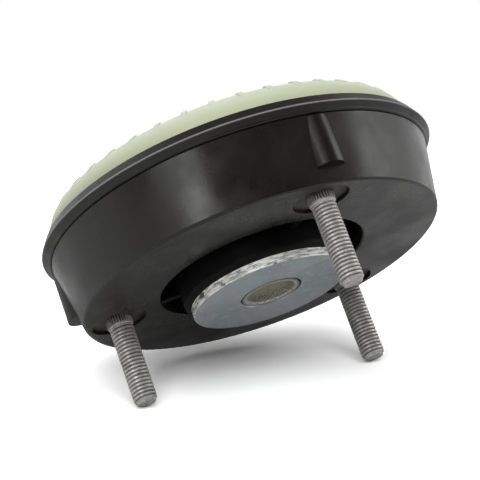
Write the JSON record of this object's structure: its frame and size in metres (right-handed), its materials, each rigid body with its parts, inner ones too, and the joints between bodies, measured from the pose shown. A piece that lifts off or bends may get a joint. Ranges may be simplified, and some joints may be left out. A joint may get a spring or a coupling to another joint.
{
  "type": "strut top mount",
  "caption": "Round strut top mount: studded moulded housing, bonded rubber bush with rod sleeve, rebound washer and a turning spring seat on a ball bearing.",
  "frame": {"origin": "centre of the studded mounting face, on the axis of the strut rod", "axes": "+Z along the rod's axis, out of the studded face towards the vehicle body; +X towards one of the studs"},
  "size_m": [0.1358, 0.1358, 0.0704],
  "materials": {
    "moulded_black": "satin moulded black",
    "cap_black": "satin moulded black",
    "bush_rubber": "matt black rubber",
    "pressed_steel": "bare pressed steel, dull",
    "turned_steel": "turned steel, dull",
    "zinc_stud": "matt zinc coating",
    "zinc_washer": "blue-grey zinc plate, satin",
    "bearing_steel": "polished steel",
    "cage_plastic": "natural nylon",
    "seal_rubber": "matt rubber",
    "ring_pale_green": "pale green natural plastic, slightly translucent"
  },
  "bodies": {
    "mount_body": {"housing": "moulded_black", "core_plate": "pressed_steel", "mounting_studs": "zinc_stud", "bush_can": "pressed_steel", "rod_plate": "pressed_steel", "inner_sleeve": "turned_steel", "rubber_bush": "bush_rubber", "rebound_washer": "zinc_washer", "bearing_cap": "cap_black", "upper_race": "bearing_steel", "outer_seal": "seal_rubber", "inner_seal": "seal_rubber"},
    "ball_set": {"ball_cage": "cage_plastic", "bearing_balls": "bearing_steel"},
    "spring_side": {"lower_ring": "ring_pale_green", "lower_race": "bearing_steel"}
  },
  "joints": [
    {"name": "ring_spin", "type": "hinge", "parent": "mount_body", "child": "spring_side", "pos_m": [0, 0, -0.03], "axis": [0, 0, 1], "continuous": true},
    {"name": "cage_spin", "type": "hinge", "parent": "mount_body", "child": "ball_set", "pos_m": [0, 0, -0.03], "axis": [0, 0, 1], "continuous": true}
  ],
  "couplings": [
    {"joint": "cage_spin", "follows": "ring_spin", "ratio": 0.5}
  ]
}
